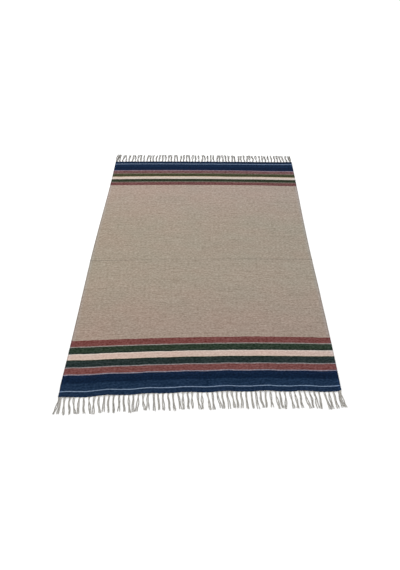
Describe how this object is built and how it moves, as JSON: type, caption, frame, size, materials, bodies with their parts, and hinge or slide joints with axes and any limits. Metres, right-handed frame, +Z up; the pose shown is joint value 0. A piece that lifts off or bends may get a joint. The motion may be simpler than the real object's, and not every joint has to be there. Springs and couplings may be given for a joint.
{
  "type": "kilim rug",
  "caption": "Flat-woven wool kilim with a plain taupe field, striped borders at both ends and twisted warp fringes, lying flat on a floor.",
  "frame": {"origin": "middle of the whole footprint, fringes counted, on the floor under the rug", "axes": "+X across the rug, +Y along it towards the far end, +Z up from the floor"},
  "size_m": [1.7159, 2.6649, 0.0052],
  "materials": {
    "woven_wool": "matte weft-faced wool weave, heathered taupe with red, green, cream and navy stripes",
    "warp_yarn": "off-white twisted wool yarn"
  },
  "bodies": {
    "root": {"cloth": "woven_wool", "fringe_near": "warp_yarn", "fringe_far": "warp_yarn"}
  },
  "joints": []
}
